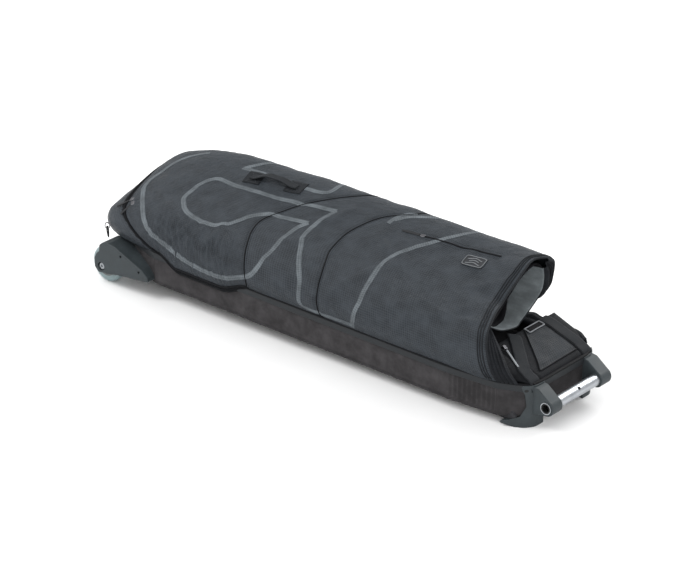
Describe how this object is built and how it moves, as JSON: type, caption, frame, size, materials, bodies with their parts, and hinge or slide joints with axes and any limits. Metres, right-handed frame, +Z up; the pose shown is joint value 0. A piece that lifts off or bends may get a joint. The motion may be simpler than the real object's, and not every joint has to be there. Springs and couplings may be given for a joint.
{
  "type": "wheeled snowboard bag",
  "caption": "Wheeled soft travel bag folded flat: rigid tray, two rear wheels, tubular pull handle, padded zipped cover with an open front mouth.",
  "frame": {"origin": "on the ground, under the middle of the bag", "axes": "+X towards the pull handle, +Y to the far side, +Z up"},
  "size_m": [1.3889, 0.38, 0.3101],
  "materials": {
    "cover_fabric": "ripstop weave, slight sheen",
    "end_fabric": "smooth woven polyester",
    "tray_fabric": "smooth coated polyester",
    "lining_fabric": "plain grey taffeta",
    "webbing": "ribbed webbing",
    "zip_tape": "woven zip tape with coil",
    "binding": "sewn binding tape",
    "rim_plastic": "fine grain",
    "moulded_plastic": "fine grain, satin",
    "board_plastic": "smooth",
    "foam": "closed-cell foam",
    "rod_plastic": "glass-fibre rod",
    "tube_aluminium": "brushed",
    "bush_plastic": "moulded",
    "fastener_steel": "zinc plated",
    "bearing_steel": "ground",
    "tyre_urethane": "cast urethane, milky",
    "hub_plastic": "moulded",
    "zip_metal": "black",
    "pull_rubber": "moulded",
    "badge_metal": "satin silver",
    "label_fabric": "reflective grey",
    "ring_metal": "polished"
  },
  "bodies": {
    "bag": {"axle_bolt_far": "fastener_steel", "axle_bolt_near": "fastener_steel", "axle_nut_far": "fastener_steel", "axle_nut_near": "fastener_steel", "axle_spacers_far": "fastener_steel", "axle_spacers_near": "fastener_steel", "badge_plate": "badge_metal", "base_rim_band": "rim_plastic", "base_tub": "tray_fabric", "bracket_rivets": "fastener_steel", "carry_handle_patches": "webbing", "carry_handle_strap": "webbing", "corner_bracket_far": "moulded_plastic", "corner_bracket_near": "moulded_plastic", "cover_front_panel": "cover_fabric", "cover_middle_panel": "cover_fabric", "cover_rear_panel": "cover_fabric", "floor_board": "board_plastic", "floor_pad": "foam", "folded_wall_stack": "cover_fabric", "front_end_pad": "cover_fabric", "front_strap_far": "webbing", "front_strap_near": "webbing", "front_zip_tape": "zip_tape", "handle_end_bushes": "bush_plastic", "handle_tube": "tube_aluminium", "housing_screws": "fastener_steel", "label_tab": "label_fabric", "main_zip_tape": "zip_tape", "mouth_binding": "binding", "mouth_lining": "lining_fabric", "pleat_gusset_far": "cover_fabric", "pleat_gusset_near": "cover_fabric", "pocket_zip_tape": "zip_tape", "rear_end_panel": "end_fabric", "rear_loop": "webbing", "skid_rails": "board_plastic", "stiffening_rods": "rod_plastic", "tie_down_straps": "webbing", "wheel_housing_far": "moulded_plastic", "wheel_housing_near": "moulded_plastic"},
    "wheel_near": {"wheel_tyre_near": "tyre_urethane", "wheel_hub_near": "hub_plastic", "wheel_bearings_near": "bearing_steel"},
    "wheel_far": {"wheel_tyre_far": "tyre_urethane", "wheel_hub_far": "hub_plastic", "wheel_bearings_far": "bearing_steel"},
    "pocket_slider": {"pocket_zip_slider": "zip_metal"},
    "pocket_pull": {"pocket_zip_pull": "pull_rubber"},
    "upper_slider": {"main_zip_upper_slider": "zip_metal"},
    "upper_pull": {"main_zip_upper_pull": "pull_rubber"},
    "lower_slider": {"main_zip_lower_slider": "zip_metal"},
    "lower_pull": {"main_zip_lower_pull": "pull_rubber"},
    "front_slider": {"front_zip_slider": "zip_metal"},
    "front_pull": {"front_zip_pull": "pull_rubber"},
    "rear_ring": {"rear_ring": "ring_metal"}
  },
  "joints": [
    {"name": "wheel_near_spin", "type": "hinge", "parent": "bag", "child": "wheel_near", "pos_m": [-0.6463, -0.157, 0.04748], "axis": [0, 1, 0], "continuous": true},
    {"name": "wheel_far_spin", "type": "hinge", "parent": "bag", "child": "wheel_far", "pos_m": [-0.6463, 0.157, 0.04748], "axis": [0, 1, 0], "continuous": true},
    {"name": "pocket_slider_slide", "type": "slide", "parent": "bag", "child": "pocket_slider", "axis": [0.9962, 0.0863, 0.0123], "range_m": [0, 0.195]},
    {"name": "pocket_pull_tilt", "type": "hinge", "parent": "pocket_slider", "child": "pocket_pull", "pos_m": [0.1786, 0.04706, 0.29034], "axis": [-0.0857, 0.9447, 0.3164], "range_deg": [0, 115]},
    {"name": "upper_slider_slide", "type": "slide", "parent": "bag", "child": "upper_slider", "axis": [-0.3511, 0.9172, 0.1882], "range_m": [0, 0.012]},
    {"name": "upper_pull_tilt", "type": "hinge", "parent": "upper_slider", "child": "upper_pull", "pos_m": [-0.61226, -0.11926, 0.21129], "axis": [-0.7357, 0.6774, 0], "range_deg": [0, 115]},
    {"name": "lower_slider_slide", "type": "slide", "parent": "bag", "child": "lower_slider", "axis": [-0.6005, 0.732, 0.3219], "range_m": [-0.012, 0]},
    {"name": "lower_pull_tilt", "type": "hinge", "parent": "lower_slider", "child": "lower_pull", "pos_m": [-0.59391, -0.13351, 0.20868], "axis": [-0.9718, 0.2359, 0], "range_deg": [0, 115]},
    {"name": "front_slider_slide", "type": "slide", "parent": "bag", "child": "front_slider", "axis": [0.8722, -0.342, -0.3497], "range_m": [0, 0.004]},
    {"name": "front_pull_tilt", "type": "hinge", "parent": "front_slider", "child": "front_pull", "pos_m": [0.54117, -0.08636, 0.15447], "axis": [-0.3175, -0.9397, 0.1273], "range_deg": [0, 115]},
    {"name": "rear_ring_swing", "type": "hinge", "parent": "bag", "child": "rear_ring", "pos_m": [-0.64779, -0.16, 0.14483], "axis": [0.9202, 0, 0.3915], "range_deg": [-60, 60]}
  ]
}
